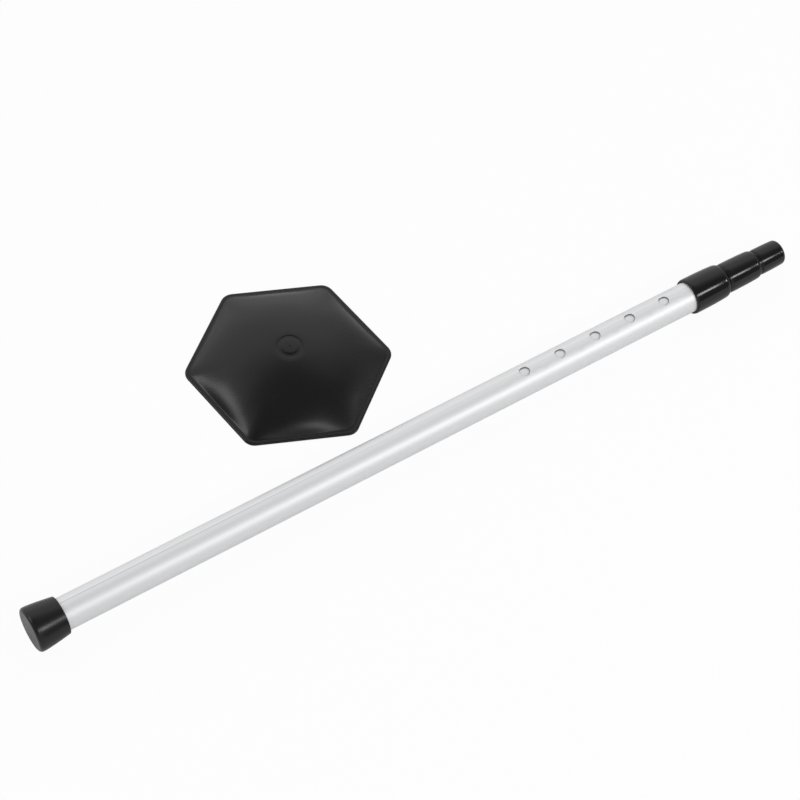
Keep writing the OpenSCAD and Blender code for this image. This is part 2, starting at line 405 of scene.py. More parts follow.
@dataclass(frozen=True)
class Finish:
    """A surface's colour and gloss, with detail that each kind of surface adds."""

    name: str
    slot: str
    colour: Colour
    roughness: float
    metallic: float = 0.0
    specular: float = 0.5
    grain: float = 900.0
    depth: float = 0.00002

    def body(self, graph: Graph, place: Wire) -> Dict[str, Union[Wire, float, tuple]]:
        """Adds what changes over the surface.

        Args:
            graph: The material's nodes.
            place: The point on the object.

        Returns:
            Inputs of the shader by name.
        """
        cloud = graph.noise(place, 18.0, 3.0)
        grain = graph.noise(place, self.grain, 3.0)
        dark = tuple(0.86 * c for c in self.colour)
        light = tuple(min(1.0, 1.12 * c) for c in self.colour)
        return {
            "Base Color": graph.mix(cloud.step(0.35, 0.65), dark, light),
            "Roughness": (grain - 0.5) * 0.1 + (cloud - 0.5) * 0.08 + self.roughness,
            "Normal": self.relief(graph, grain),
        }

    def relief(self, graph: Graph, height: Wire) -> Wire:
        """A bump from a height of 0 to 1, as deep as the finish's grain."""
        return graph.add("ShaderNodeBump", None, {"Height": height, "Distance": self.depth})

    def build(self) -> bpy.types.Material:
        """Makes the material.

        Returns:
            The material.
        """
        material = bpy.data.materials.new(self.name)
        material.use_nodes = True
        graph = Graph(material.node_tree)
        place = graph.add("ShaderNodeTexCoord", output="Object")
        inputs = {"Base Color": (*self.colour, 1.0), "Metallic": self.metallic,
                  "Roughness": self.roughness, "Specular IOR Level": self.specular}
        inputs.update(self.body(graph, place))
        shader = graph.add("ShaderNodeBsdfPrincipled", None, inputs)
        graph.add("ShaderNodeOutputMaterial", None, {"Surface": shader})
        return material


@dataclass(frozen=True)
class DrawnAluminium(Finish):
    """Satin anodised tube, with fine lines along it, a weld seam that fades out, painted highlight
    lines along its top and painted shade in its holes.
    """

    seam: float = math.radians(12)
    # Angles of the two painted highlight lines along the top of the tube.
    pale: Tuple[float, float] = (math.radians(-0.5), math.radians(15.5))
    axis: Tuple[float, float] = (0.0, 0.0)
    radius: float = 0.0142875

    def body(self, graph: Graph, place: Wire) -> Dict[str, Union[Wire, float, tuple]]:
        """Adds the drawn lines, the seam, uneven anodising, two painted highlight lines along the
        top with painted shade between them, and painted shade on the hole walls and inside the tube.

        Args:
            graph: The material's nodes.
            place: The point on the object.

        Returns:
            Inputs of the shader by name.
        """
        along = graph.add("ShaderNodeSeparateXYZ", None, {0: place}, "X")
        across, above = (graph.add("ShaderNodeSeparateXYZ", None, {0: place}, letter) - middle
                         for letter, middle in zip("YZ", self.axis))
        angle = across.fn("ARCTAN2", above)
        rolled = graph.add("ShaderNodeCombineXYZ", None, {0: along * 1.2, 1: angle, 2: 0.0})
        lines = graph.noise(rolled, 60.0, 4.0)
        bands = graph.noise(rolled, 9.0, 3.0).step(0.38, 0.62)
        cloud = graph.noise(place, 9.0, 2.0)
        grain = graph.noise(place, self.grain, 2.0)
        seam = abs(angle - self.seam).step(0.045, 0.012) * along.step(0.0, -0.22)
        # Painted highlights: two pale lines along the top of the tube, with a band of painted shade
        # between them.
        first, second = (abs(angle - line).step(0.09, 0.02) for line in self.pale)
        between = abs(angle - sum(self.pale) / 2).step(0.12, 0.06)
        pale = (first * 0.6 + second) * 0.5
        dark = tuple(0.95 * c for c in self.colour)
        warm = tuple(c * k for c, k in zip(self.colour, (1.008, 1.0, 0.988)))
        cool = tuple(c * k for c, k in zip(self.colour, (0.988, 1.0, 1.008)))
        base = graph.mix(lines.step(0.3, 0.7) * 0.7 + cloud * 0.3, dark,
                         graph.mix(bands, warm, cool))
        # Darkens the seam, and the band between the highlight lines as painted shade.
        dull = graph.mix(seam * 0.45 + between * 0.04, base, (0.30, 0.31, 0.32))
        # Brightens the base towards white along the painted highlight lines.
        lit = graph.mix(pale * 0.35, dull, (0.97, 0.97, 0.97))
        # Painted shade: the hole walls and the inside of the tube, below the outer skin, turn dark
        # grey.
        depth = (across * across + above * above).fn("SQRT")
        skin = depth.step(self.radius - 0.0006, self.radius - 0.0004)
        lit = graph.mix(skin, (0.16, 0.16, 0.165), lit)
        return {
            "Base Color": lit,
            "Roughness": (lines - 0.5) * 0.06 + (grain - 0.5) * 0.06 + self.roughness,
            "Normal": self.relief(graph, lines * 0.7 + grain * 0.3 - seam * 0.6),
        }


@dataclass(frozen=True)
class MouldedPlastic(Finish):
    """Black moulding with a fine spark texture and faint scuffs."""

    def body(self, graph: Graph, place: Wire) -> Dict[str, Union[Wire, float, tuple]]:
        """Adds the spark grain, soft flow marks and a few scuffs.

        Args:
            graph: The material's nodes.
            place: The point on the object.

        Returns:
            Inputs of the shader by name.
        """
        grain = graph.noise(place, self.grain, 2.0)
        flow = graph.noise(place, 14.0, 3.0)
        scuff = graph.noise(place, 55.0, 5.0).step(0.66, 0.80)
        base = graph.mix(flow.step(0.3, 0.7), tuple(0.88 * c for c in self.colour),
                         tuple(1.12 * c for c in self.colour))
        worn = graph.mix(scuff * 0.25, base, tuple(2.0 * c for c in self.colour))
        return {
            "Base Color": worn,
            "Roughness": (flow - 0.5) * 0.08 + (grain - 0.5) * 0.12 + scuff * 0.05
            + self.roughness,
            "Normal": self.relief(graph, grain),
        }


# ---- The pole's frame ----


@dataclass(frozen=True)
class Section:
    """One of the pole's three nested tubes."""

    name: str
    radius: float
    wall: float = 1.473

    @property
    def bore(self) -> float:
        """Radius inside the tube."""
        return self.radius - self.wall


OUTER = Section("outer", 14.2875)
MIDDLE = Section("middle", 12.6995)
INNER = Section("inner", 11.1115)
SEAT = 0.03  # Between a tube and what grips it.
LATCH = 38.0  # From the start of a sliding tube to its button.


def mount(name: str) -> Vector:
    """The place of one of the record's mounts."""
    return Vector(next(m["pos_m"] for m in frame["record"]["mounts"] if m["name"] == name))


@dataclass
class PoleFrame:
    """Where the pole lies: +X runs along it from the foot's face and +Z is radially up."""

    lean: float = 3.7
    origin: Vector = field(default_factory=Vector)
    place: Matrix = field(default_factory=Matrix)

    def __post_init__(self) -> None:
        """Reads the axis from the foot's face."""
        self.origin = mount("foot_face")
        self.place = Matrix.Translation(self.origin) \
            @ Matrix.Rotation(-math.radians(self.lean), 4, "X")

    def span(self, node: str) -> Tuple[float, float]:
        """The first and last station of a CAD node, in millimetres."""
        low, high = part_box(node)
        return (low.x - self.origin.x) / MM, (high.x - self.origin.x) / MM


@dataclass
class Kit:
    """What every sub-assembly shares."""

    pole: PoleFrame
    finishes: Dict[str, bpy.types.Material]

    def keep(self, thing: bpy.types.Object, body: str, slot: str, *nodes: str) -> bpy.types.Object:
        """Fixes a finished piece to its body.

        Args:
            thing: The piece.
            body: The body that it rides on.
            slot: Its material slot in the record; not used.
            nodes: The CAD nodes that it stands for.

        Returns:
            The piece.
        """
        if thing.name not in frame["nodes"]:
            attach(thing, body)
            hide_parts(*nodes)
        LOG.info("%-18s on %-15s %6d faces", thing.name, body, len(thing.data.polygons))
        return thing

    def paint(self, mesh: bpy.types.Mesh, finish: str) -> bpy.types.Mesh:
        """Gives a mesh one finish.

        Args:
            mesh: The mesh.
            finish: The finish's name.

        Returns:
            The mesh.
        """
        mesh.materials.clear()
        mesh.materials.append(self.finishes[finish])
        return mesh

    def turned(self, name: str, outline: Sequence[Point], finish: str) -> bpy.types.Object:
        """Turns an outline about the pole's axis and gives the piece its finish."""
        return link(name, self.paint(lathe(name, outline, self.pole.place), finish))


# ---- Tubes ----


@dataclass
class Tube:
    """A drawn tube with a row of count round holes along its top.

    The inset is the distance from the row's last hole to the tube's mouth, and button the
    distance from the tube's start to the hole for its button, or 0 where it has none.
    """

    kit: Kit
    section: Section
    count: int = 5
    inset: float = 0.0
    button: float = 0.0
    pitch: float = 38.1
    hole: float = 4.75
    chamfer: float = 0.6
    patch: float = 34.0
    across: int = 12
    around: int = 72
    beside: int = 26

    def angles(self) -> List[float]:
        """Spaces the points round the tube.

        Returns:
            Their angles, the top patch's first.
        """
        half = math.radians(self.patch)
        top = [half * (2 * i / self.across - 1) for i in range(self.across)]
        rest = math.tau - 2 * half
        return top + [half + rest * i / self.around for i in range(self.around)]

    def ring(self, station: float, radius: float) -> List[Spot]:
        """Points round the tube at a station."""
        return [(station, radius * math.sin(a), radius * math.cos(a)) for a in self.angles()]

    def plain(self, soup: Soup, start: float, end: float) -> None:
        """A stretch with no holes."""
        for radius in (self.section.radius, self.section.bore):
            soup.strip([self.ring(start, radius), self.ring(end, radius)], True)

    def edge(self, half: float) -> Tuple[List[Point], List[float]]:
        """The border of a hole's patch, as seen from above.

        Args:
            half: Half the patch's length along the tube.

        Returns:
            Each border point's offset along the tube and angle round it, and the offsets.
        """
        top = math.radians(self.patch)
        corner = math.atan2(self.section.radius * math.sin(top), half)
        sweep = [corner + (math.pi - 2 * corner) * i / self.beside for i in range(self.beside + 1)]
        offsets = [half * math.tan(corner) / math.tan(t) for t in sweep]
        rise = [top * (2 * i / self.across - 1) for i in range(self.across)]
        border = [(half, a) for a in rise] + [(x, top) for x in offsets[:-1]]
        border += [(-half, -a) for a in rise] + [(-x, -top) for x in offsets[:-1]]
        return border, offsets

    def drilled(self, soup: Soup, station: float, half: float) -> None:
        """A stretch with a hole in the middle of its top.

        Args:
            soup: Where the stretch goes.
            station: The hole's station.
            half: Half the stretch's length.
        """
        border, offsets = self.edge(half)
        top = math.radians(self.patch)
        below = [top + (math.tau - 2 * top) * i / self.around for i in range(self.around + 1)]
        outer, inner = self.section.radius, self.section.bore
        ways = [Vector((x, outer * math.sin(a))).normalized() for x, a in border]

        def on(radius: float, x: float, y: float, sink: float = 0.0) -> Spot:
            """The point above (x, y) on a tube of that radius, or just below it."""
            return station + x, y, math.sqrt(radius * radius - y * y) - sink

        walls = []
        for radius, rim in ((outer, self.hole + self.chamfer), (inner, self.hole)):
            rings = []
            for share in (0.0, 0.1, 0.28, 0.55, 1.0):
                rings.append([
                    on(radius, rim * w.x + (x - rim * w.x) * share,
                       rim * w.y + (radius * math.sin(a) - rim * w.y) * share)
                    for w, (x, a) in zip(ways, border)])
            soup.strip(rings, True)
            walls.append(rings[0])
            soup.strip([[(station + x, radius * math.sin(a), radius * math.cos(a))
                         for a in below] for x in offsets], False)
        lip = [on(outer, self.hole * w.x, self.hole * w.y, self.chamfer) for w in ways]
        soup.strip([walls[0], lip, walls[1]], True)

    def build(self) -> bpy.types.Object:
        """Makes the tube, repeating one drilled stretch along its row.

        Returns:
            The tube.
        """
        node = f"{self.section.name}_tube"
        start, mouth = self.kit.pole.span(node)
        soup = Soup()
        at, half = start, self.pitch / 2
        if self.button:
            self.plain(soup, at, start + self.button - half)
            self.drilled(soup, start + self.button, half)
            at = start + self.button + half
        if self.count:
            first = mouth - self.inset - (self.count - 1) * self.pitch
            self.plain(soup, at, first - half)
            soup.marking = True
            self.drilled(soup, first, half)
            soup.marking = False
            at = first + (self.count - 0.5) * self.pitch
        self.plain(soup, at, mouth)
        for end in (start, mouth):
            rim = [self.ring(end, radius) for radius in (self.section.radius, self.section.bore)]
            soup.strip(rim, True)
        rule = Rule(f"{node}_row", {"Pitch": self.pitch * MM, "Count": self.count})
        parts = rule.add("GeometryNodeSeparateGeometry", {"domain": "FACE"},
                         {0: rule.given("Geometry"), 1: rule.stored("repeats", "BOOLEAN")})
        plain = Wire(rule, parts.socket.node.outputs["Inverted"])
        offset = rule.add("ShaderNodeCombineXYZ", None, {0: rule.given("Pitch")})
        line = rule.add("GeometryNodeMeshLine", {"mode": "OFFSET"},
                        {"Count": rule.given("Count"), "Offset": offset})
        row = rule.add("GeometryNodeInstanceOnPoints", None, {"Points": line, "Instance": parts})
        solid = rule.add("GeometryNodeRealizeInstances", None, {0: row})
        both = rule.add("GeometryNodeJoinGeometry", None, {0: solid})
        rule.tree.links.new(plain.socket, both.socket.node.inputs[0])
        welded = rule.add("GeometryNodeMergeByDistance", None, {0: both, "Distance": 5e-6})
        thing = rule.grow(f"{node}_drawn", soup.mesh(node), welded,
                          self.kit.finishes[self.section.name])
        settle(thing.data, self.kit.pole.place)
        return self.kit.keep(thing, f"{self.section.name}_section", "tube_aluminium", node)


# ---- Turned pieces ----


@dataclass(frozen=True)
class Crowning:
    """How a black moulding's barrel swells from its lip and falls off to its nose."""

    lip: float
    lip_rise: float
    fall: float
    shoulder: float
    shoulder_fall: float

    def corners(self, start: float, end: float, radius: float) -> List[Corner]:
        """The barrel's outline.

        Args:
            start: Where the lip starts, along the pole.
            end: Where the shoulder ends, along the pole.
            radius: Radius of the barrel.

        Returns:
            Corners of an outline.
        """
        made, length = [], end - self.shoulder - start
        stops = [start + self.lip * (1 - math.cos(math.radians(9 * i))) for i in range(10)]
        first = stops[-1]
        stops += [first + (end - self.shoulder - first) * i / 8 for i in range(1, 9)]
        stops += [end - self.shoulder * math.cos(math.radians(9 * i)) for i in range(1, 11)]
        for x in stops:
            u = max(0.0, 1 - (x - start) / self.lip)
            v = max(0.0, 1 - (end - x) / self.shoulder)
            low = self.lip_rise * (1 - math.sqrt(1 - u * u))
            low += self.fall * ((x - start) / length) ** 3
            low += self.shoulder_fall * (1 - math.sqrt(max(0.0, 1 - v * v)))
            made.append((x, radius - low, 0.0))
        return made


@dataclass
class Collar:
    """A black collar: a lip at its open end, a barrel, a shoulder, a groove and a small ring.

    It grips one tube and guides the next. The nose is where the shoulder ends, as far back
    from the collar's end as the number says, and the ring is the end's radius.
    """

    kit: Kit
    grip: Section
    guide: Section
    wall: float
    shape: Crowning
    nose: float
    ring: float
    flare: float = 0.25
    floor: float = 2.7
    mouth: float = 0.2
    gap: float = 0.7

    def build(self) -> bpy.types.Object:
        """Makes the collar.

        Returns:
            The collar.
        """
        node = f"{self.grip.name}_collar"
        start, end = self.kit.pole.span(node)
        tight, hole = self.grip.radius + SEAT, self.guide.radius + self.mouth
        low, rim, nose = hole + 0.1, self.ring, end - self.nose
        barrel = self.shape.corners(start + 0.15, nose, self.grip.radius + self.wall)
        corners = [
            (end - self.floor, tight, 0.3), (start + 0.8 + 2 * self.flare, tight, 0.8),
            (start, tight + self.flare, 0.1), (start, barrel[0][1] - 0.25, 0.15)]
        corners += barrel
        corners += [
            (nose, low, 0.1), (nose + self.gap, low, 0.1),
            (nose + self.gap, rim - 0.35, 0.15), (end - 0.15, rim, 0.15),
            (end, rim - 0.15, 0.0), (end, hole, 0.12), (end - self.floor, hole, 0.0)]
        thing = self.kit.turned(f"{node}_moulded", rounded(corners), "collar")
        return self.kit.keep(thing, f"{self.grip.name}_section", "collar_plastic", node)


@dataclass
class Foot:
    """The rubber foot and the steel washer inside it."""

    kit: Kit
    radius: float = 19.9
    round_r: float = 3.3
    open_wall: float = 2.6
    floor: float = 6.3
    waist: float = 4.8
    brim: float = 0.9
    taper: float = 1.25

    def build(self) -> List[bpy.types.Object]:
        """Makes the foot and dresses the washer.

        Returns:
            The foot and the washer.
        """
        start, end = self.kit.pole.span("foot_tip")
        bore = OUTER.radius + SEAT
        open_r = bore + self.open_wall
        corners = [(start, 0.0, 0.0), (start, self.radius - self.round_r - 1.5, 0.0),
                   (start, self.radius - 0.1, self.round_r - 0.2)]
        waist, brim = start + self.waist, end - self.brim
        for i in range(15):
            t = i / 14
            corners.append((waist + (brim - waist) * t,
                            self.radius - 0.03 - (self.radius - open_r - 0.05) * t ** self.taper,
                            0.0))
        corners += [(end, open_r - 0.12, 0.8), (end, bore, 0.35),
                    (start + self.floor, bore, 0.3), (start + self.floor, 0.0, 0.0)]
        thing = self.kit.turned("foot_rubber", rounded(corners, 9.0), "foot")
        washer = frame["nodes"]["foot_washer"]
        self.kit.paint(washer.data, "washer")
        return [self.kit.keep(thing, "outer_section", "foot_rubber", "foot_tip"),
                self.kit.keep(washer, "outer_section", "washer_steel")]


@dataclass
class TipCap:
    """The smooth cap over the inner tube's end."""

    kit: Kit
    wall: float = 1.19
    floor: float = 3.0
    shape: Crowning = Crowning(3.6, 0.5, 0.42, 3.2, 2.9)

    def build(self) -> bpy.types.Object:
        """Makes the cap.

        Returns:
            The cap.
        """
        start, end = self.kit.pole.span("tip_cap")
        bore = INNER.radius + SEAT
        corners = [(start, bore, 0.2)]
        corners += self.shape.corners(start, end, bore + self.wall)
        corners += [(end, 0.0, 0.0), (end - self.floor, 0.0, 0.0), (end - self.floor, bore, 0.3)]
        thing = self.kit.turned("tip_moulded", rounded(corners, 9.0), "collar")
        return self.kit.keep(thing, "inner_section", "collar_plastic", "tip_cap")


# ---- Snap locks ----


@dataclass
class SnapLock:
    """A button and the folded strip spring that carries it inside a sliding tube."""

    kit: Kit
    section: Section
    flange: float = 11.5
    strip: float = 0.8
    width: float = 8.0
    bend: float = 3.6
    setback: float = 2.6
    throw: float = 3.4
    rub: float = 0.06
    travel: float = 3.0
    crank: float = 1.2
    crank_drop: float = 0.5
    crank_sag: float = 0.12
    edge: float = 0.12

    def __post_init__(self) -> None:
        """Reads where the sliding tube starts."""
        self.start = self.kit.pole.span(f"{self.section.name}_tube")[0]

    def path(self) -> Tuple[List[Point], float]:
        """Bends the strip.

        Returns:
            The middle of the strip as (station, height), and its lower face's height.
        """
        bore, half, station = self.section.bore, self.strip / 2, self.start + LATCH
        base = self.rub - math.sqrt(bore ** 2 - self.width ** 2 / 4)
        top = math.sqrt(bore ** 2 - self.flange ** 2 / 4) - self.rub - self.throw - self.strip
        bend_at = self.start + self.setback + half + self.bend
        low, rest = base + half, self.flange / 2
        points = [(station + rest, low)]
        for i in range(19):
            a = math.radians(-90 - 10 * i)
            points.append((bend_at + self.bend * math.cos(a),
                           low + self.bend + self.bend * math.sin(a)))
        level = top - half
        points += [(station - rest - self.crank, level - self.crank_drop),
                   (station - rest, level - self.crank_sag),
                   (station - rest + self.crank, level), (station + rest, level)]
        return points, base

    def build(self) -> List[bpy.types.Object]:
        """Makes the strip and dresses the button.

        Returns:
            The strip and the button.
        """
        which = self.section.name
        path, base = self.path()
        upper, lower = [], []
        for i, here in enumerate(path):
            ahead = Vector(path[min(i + 1, len(path) - 1)]) - Vector(path[max(i - 1, 0)])
            side = Vector((-ahead.y, ahead.x)).normalized() * self.strip / 2
            upper.append(Vector(here) + side)
            lower.append(Vector(here) - side)
        rows, across, edge = [], self.width / 2, self.edge
        for u, w in zip(upper, lower):
            thick = (u - w).normalized() * edge
            rows.append([(p.x, y, p.y) for p, y in (
                (u, -across + edge), (u, across - edge), (u - thick, across), (w + thick, across),
                (w, across - edge), (w, -across + edge), (w + thick, -across),
                (u - thick, -across))])
        soup = Soup()
        soup.bar(rows)
        name = f"{which}_spring_strip"
        mesh = soup.mesh(name, self.kit.pole.place)
        strip = link(name, self.kit.paint(mesh, "spring"))
        self.kit.keep(strip, f"{which}_section", "spring_steel", f"{which}_spring")
        up = self.kit.pole.place.to_3x3() @ Vector((0, 0, 1))
        foot = self.kit.pole.place @ Vector((self.start * MM, 0, base * MM))
        height = max(p[1] for p in path) + self.strip / 2 - base
        1 - self.travel / height
        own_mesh(strip)
        button = frame["nodes"][f"{which}_button"]
        self.kit.paint(button.data, "button")
        return [strip, self.kit.keep(button, f"{which}_latch", "button_steel")]


# ---- Pad ----


@dataclass
class Pad:
    """The hexagonal pad: a domed skin, six ribs and a socket under its middle."""

    kit: Kit
    turn: float = 37.15
    corner: float = 94.0
    rounding: float = 11.5
    rim: float = 4.0
    rim_t: float = 2.4
    rim_round: float = 1.6
    crown: float = 28.2
    wall: float = 2.6
    side_slope: float = 1.05
    side_reach: Tuple[float, float] = (64.4, 7.0)
    cap_fall: float = 24.3
    cap_reach: float = 85.0
    cap_corners: float = 0.04
    blend: Tuple[float, float] = (2.5, 12.0)
    evenness: float = 0.9
    rib_t: float = 2.0
    rib_low: float = 1.0
    socket_r: float = 12.5315
    socket_wall: float = 2.6
    ring: Tuple[float, float] = (7.85, 11.85)
    ring_depth: float = 0.6
    fillet: Tuple[Point, ...] = (
        (-0.45, 0.47), (-0.15, 0.21), (0.1, 0.08), (0.35, 0.02), (0.6, 0.0))
    spokes: int = 240

    def __post_init__(self) -> None:
        """Reads the middle of the pad from its socket."""
        middle = mount("pad_socket")
        self.place = Matrix.Translation((middle.x, middle.y, 0.0)) \
            @ Matrix.Rotation(math.radians(self.turn), 4, "Z")

    def even(self, inset: float) -> float:
        """Radius that the skin's rings tend to near the crown."""
        return self.evenness * (self.corner - inset / math.cos(math.radians(30)))

    def rows(self) -> List[Tuple[float, float, float, float, float]]:
        """The skin's rings, from the crown's outside to its inside.

        Returns:
            For each ring its inset, share of the way to the rim, base height, crown height
            and sink.
        """
        crown, inside = self.crown, self.crown - self.wall
        outer, inner = self.rim, self.rim + self.wall
        # Radius and depth of the moulding gate's dimple and of the ring mark round it.
        gate = [(0.0, 0.6), (0.45, 0.55), (0.7, 0.2), (0.85, 0.0), (2.5, 0.0), (5.5, 0.0)]
        near, far = self.ring
        deep = self.ring_depth
        ring = [(near - 0.2, 0.0), (near - 0.05, 0.04), (near + 0.03, 0.5 * deep),
                (near + 0.1, deep - 0.05), (near + 0.3, deep), (far - 0.3, deep),
                (far - 0.1, deep - 0.05), (far - 0.03, 0.5 * deep), (far + 0.05, 0.04),
                (far + 0.2, 0.0)]
        rows = [(outer, r / self.even(outer), self.rim_t, crown, sink) for r, sink in gate + ring]
        rows += [(outer, 0.17 + 0.82 * math.sin(math.radians(90 * i / 34)), self.rim_t, crown, 0.0)
                 for i in range(1, 34)]
        rows += [(outer - out, 1.0, self.rim_t + rise, crown, 0.0) for out, rise in self.fillet]
        top, low = self.rim_round, 0.4
        edge = [(top * (1 - math.sin(a)), self.rim_t - top * (1 - math.cos(a)))
                for a in (math.radians(11.25 * i) for i in range(9))]
        edge += [(low * (1 - math.cos(a)), low * (1 - math.sin(a)))
                 for a in (math.radians(22.5 * i) for i in range(5))]
        edge = [(top + 0.6, self.rim_t)] + edge + [(low + 1.5, 0.0), (inner - 0.4, 0.0)]
        rows += [(inset, 1.0, z, crown, 0.0) for inset, z in edge]
        rows += [(inner, 1.0, 0.35, inside, 0.0), (inner, 1.0, self.rim_t, inside, 0.0)]
        rows += [(inner, math.cos(math.radians(90 * i / 30)), self.rim_t, inside, 0.0)
                 for i in range(1, 31)]
        return rows

    def ridge(self, x: float, share: float, crown: float) -> float:
        """Height of the skin's rule over a corner.

        Args:
            x: Distance from the pad's middle.
            share: Share of the way to the foot.
            crown: Height of the middle.

        Returns:
            The height.
        """
        reach = self.side_reach[0] - self.side_reach[1]
        wall = self.rim_t + self.side_slope * (1 - share) * reach
        out = x / self.cap_reach * (1 - self.cap_corners * share ** 2)
        cap = crown - self.cap_fall * out ** 2
        blend = self.blend[0] + self.blend[1] * (1 - share ** 4)
        near = max(blend - abs(wall - cap), 0.0) / blend
        return min(wall, cap) - near ** 3 * blend / 6

    def skin(self) -> bpy.types.Object:
        """Grows the domed skin from its rule.

        Returns:
            The skin.
        """
        rows = self.rows()
        angles = [math.tau * i / self.spokes for i in range(self.spokes)]
        count = len(rows)
        faces = [(r * self.spokes + i, r * self.spokes + (i + 1) % self.spokes,
                  (r + 1) * self.spokes + (i + 1) % self.spokes, (r + 1) * self.spokes + i)
                 for r in range(count - 1) for i in range(self.spokes)]
        seed = bpy.data.meshes.new("pad_skin_seed")
        seed.from_pydata([(0.0, 0.0, 0.0)] * (count * self.spokes), [], faces)
        columns = {"spoke": [a for _ in rows for a in angles]}
        for k, key in enumerate(("inset", "share", "lift", "crown", "sink")):
            scale = 1.0 if key == "share" else MM
            columns[key] = [row[k] * scale for row in rows for _ in angles]
        for key, values in columns.items():
            seed.attributes.new(key, "FLOAT", "POINT").data.foreach_set("value", values)
        rule = Rule("domed_skin", {
            "Corner radius": self.corner * MM, "Corner rounding": self.rounding * MM,
            "Evenness": self.evenness, "Side slope": self.side_slope,
            "Side reach": self.side_reach[0] * MM, "Side corners": self.side_reach[1] * MM,
            "Cap fall": self.cap_fall * MM, "Cap reach": self.cap_reach * MM,
            "Cap corners": self.cap_corners,
            "Blend at the foot": self.blend[0] * MM, "Blend above": self.blend[1] * MM})
        slope = math.radians(30)
        share, lift = rule.stored("share"), rule.stored("lift")
        corner = rule.given("Corner radius") - rule.stored("inset") / math.cos(slope)
        bend = rule.given("Corner rounding")
        spoke = rule.stored("spoke")
        turn = abs(spoke - (spoke / (2 * slope)).fn("ROUND") * (2 * slope))
        side, centre = corner * math.cos(slope), corner - bend / math.cos(slope)
        leaves = ((corner * 0.5 - bend * math.tan(slope)) / side).fn("ARCTANGENT")
        straight = side / (slope - turn).fn("COSINE")
        reach = (bend * bend - (centre * turn.fn("SINE")) ** 2.0).fn("MAXIMUM", 0.0)
        bent = centre * turn.fn("COSINE") + reach.fn("SQRT")
        edge = bent + (straight - bent) * (turn + leaves).fn("GREATER_THAN", slope)
        even = corner * rule.given("Evenness")
        radius = share * (even + (edge - even) * share * share)
        sixfold = (turn * 6.0).fn("COSINE")
        away = (1.0 - share) * (rule.given("Side reach") - sixfold * rule.given("Side corners"))
        wall = lift + away * rule.given("Side slope")
        out = radius / rule.given("Cap reach")
        out = out * (1.0 - sixfold * share * share * rule.given("Cap corners"))
        cap = rule.stored("crown") - rule.given("Cap fall") * out ** 2.0
        cap = cap + share.fn("GREATER_THAN", 0.9999)  # Lets the rim's rows keep their height.
        blend = rule.given("Blend at the foot") + (1.0 - share ** 4.0) * rule.given("Blend above")
        height = wall.fn("SMOOTH_MIN", cap, blend) - rule.stored("sink")
        spot = rule.add("ShaderNodeCombineXYZ", None,
                        {0: radius * spoke.fn("COSINE"), 1: radius * spoke.fn("SINE"), 2: height})
        moved = rule.add("GeometryNodeSetPosition", None,
                         {0: rule.given("Geometry"), "Position": spot})
        welded = rule.add("GeometryNodeMergeByDistance", None, {0: moved, "Distance": 5e-6})
        thing = rule.grow("pad_skin", seed, welded, self.kit.finishes["pad"])
        settle(thing.data, self.place)
        return self.kit.keep(thing, "top_pad", "pad_plastic", "pad_shell")

    def ribs(self) -> bpy.types.Object:
        """Grows six ribs from one blade along a corner.

        Returns:
            The ribs.
        """
        inset = self.rim + self.wall
        even = self.even(inset)
        far = self.corner - inset / math.cos(math.radians(30))
        far = far - self.rounding / math.cos(math.radians(30)) + self.rounding
        crown, half, edge = self.crown - self.wall, self.rib_t / 2, 0.35
        first = (self.socket_r + self.socket_wall - 0.3) / even
        soup, rows = Soup(), []
        for i in range(41):
            share = first + (0.997 - first) * math.sin(math.radians(90 * i / 40))
            x = share * (even + (far - even) * share * share)
            top = self.ridge(x, share, crown) + 0.4
            low = self.rib_low
            rows.append([(x, y, z) for y, z in (
                (-half, top), (half, top), (half, low + edge), (half - edge, low),
                (edge - half, low), (-half, low + edge))])
        soup.bar(rows)
        rule = Rule("rib_ring", {"Count": 6})
        count = rule.given("Count")
        line = rule.add("GeometryNodeMeshLine", {"mode": "OFFSET"},
                        {"Count": count, "Offset": (0.0, 0.0, 0.0)})
        turn = rule.add("GeometryNodeInputIndex") * math.tau / count
        euler = rule.add("ShaderNodeCombineXYZ", None, {2: turn})
        pose = rule.add("FunctionNodeEulerToRotation", None, {0: euler})
        ring = rule.add("GeometryNodeInstanceOnPoints", None,
                        {"Points": line, "Instance": rule.given("Geometry"), "Rotation": pose})
        thing = rule.grow("pad_rib_ring", soup.mesh("pad_rib"), ring, self.kit.finishes["pad"])
        settle(thing.data, self.place)
        return self.kit.keep(thing, "top_pad", "pad_plastic", "pad_ribs")

    def socket(self) -> bpy.types.Object:
        """Makes the socket that takes the pole's tip.

        Returns:
            The socket.
        """
        low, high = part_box("pad_socket")
        bottom, top = low.z / MM, self.crown - self.wall - 0.05
        out = self.socket_r + self.socket_wall
        outline = rounded([
            (bottom, self.socket_r + 0.5, 0.1), (bottom, out, 0.5), (top, out + 0.4, 0.0),
            (top, self.socket_r, 0.0), (bottom + 0.6, self.socket_r, 0.3)])
        stand = Matrix.Rotation(math.radians(-90), 4, "Y")
        mesh = lathe("pad_socket_moulded", outline, self.place @ stand, 96)
        thing = link("pad_socket_moulded", self.kit.paint(mesh, "pad"))
        return self.kit.keep(thing, "top_pad", "pad_plastic", "pad_socket")

    def build(self) -> List[bpy.types.Object]:
        """Makes the whole pad."""
        return [self.skin(), self.ribs(), self.socket()]


# ---- Studio ----


class Lamp(Enum):
    """The lamps of the studio: four strips in a row, and a softbox to the left."""

    STRIP_DIM = "strip_dim"
    STRIP_SHORT = "strip_short"
    STRIP_LONG = "strip_long"
    STRIP_END = "strip_end"
    SIDE = "side"


